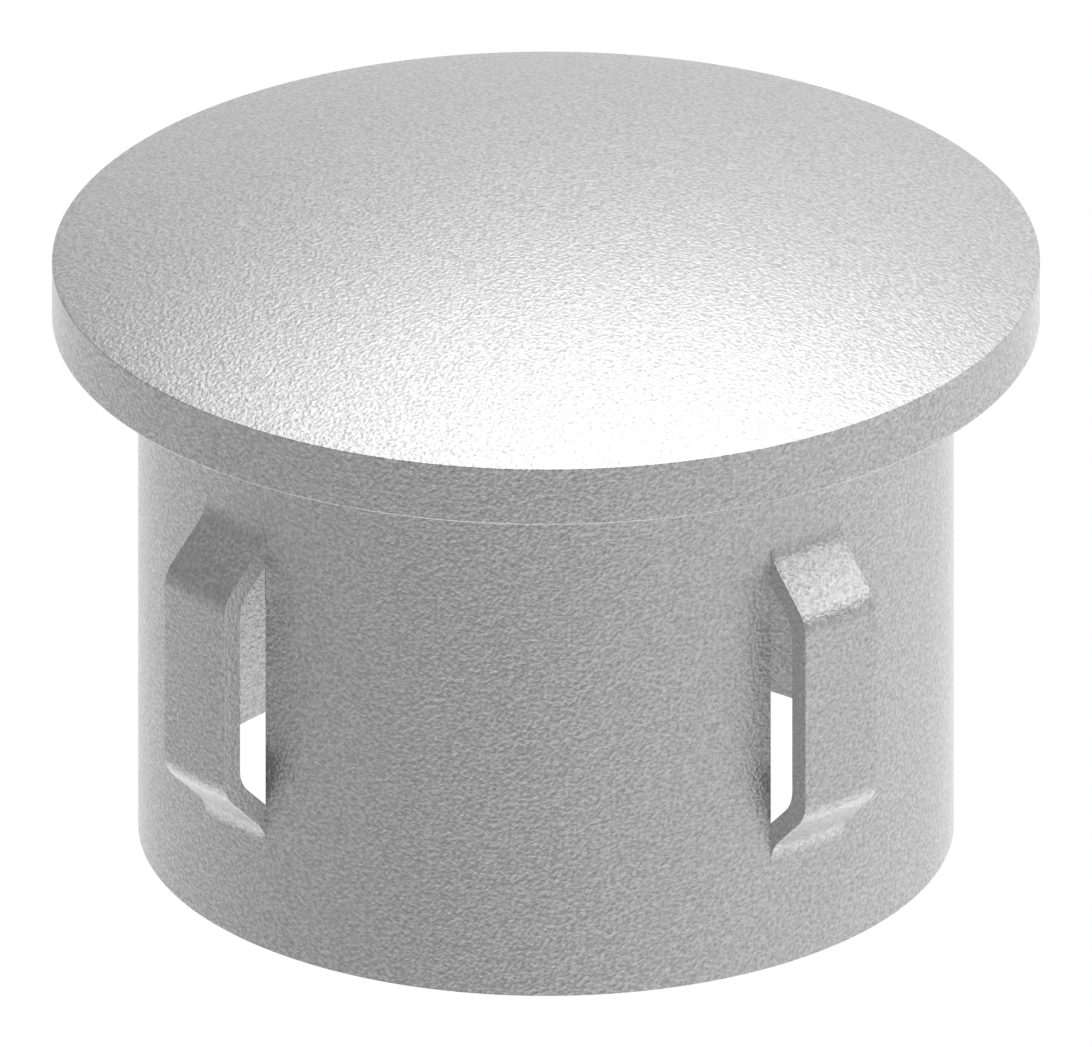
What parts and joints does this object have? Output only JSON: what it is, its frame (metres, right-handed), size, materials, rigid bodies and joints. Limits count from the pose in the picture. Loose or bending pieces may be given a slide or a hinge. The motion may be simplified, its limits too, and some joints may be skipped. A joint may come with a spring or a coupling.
{
  "type": "tube end cap",
  "caption": "Domed steel end cap whose hollow skirt pushes into a round tube and grips its bore with strips lanced out of the wall.",
  "frame": {"origin": "centre of the skirt's open end, on the cap's own axis", "axes": "+Z along the cap's axis, from the open end of the skirt towards the dome; X and Y each pass through the middle of two opposite bridges"},
  "size_m": [0.0424, 0.0424, 0.03],
  "materials": {
    "cast_steel": "bright steel with a fine, even cast or blasted grain, no coating"
  },
  "bodies": {
    "root": {"end_cap": "cast_steel"}
  },
  "joints": []
}
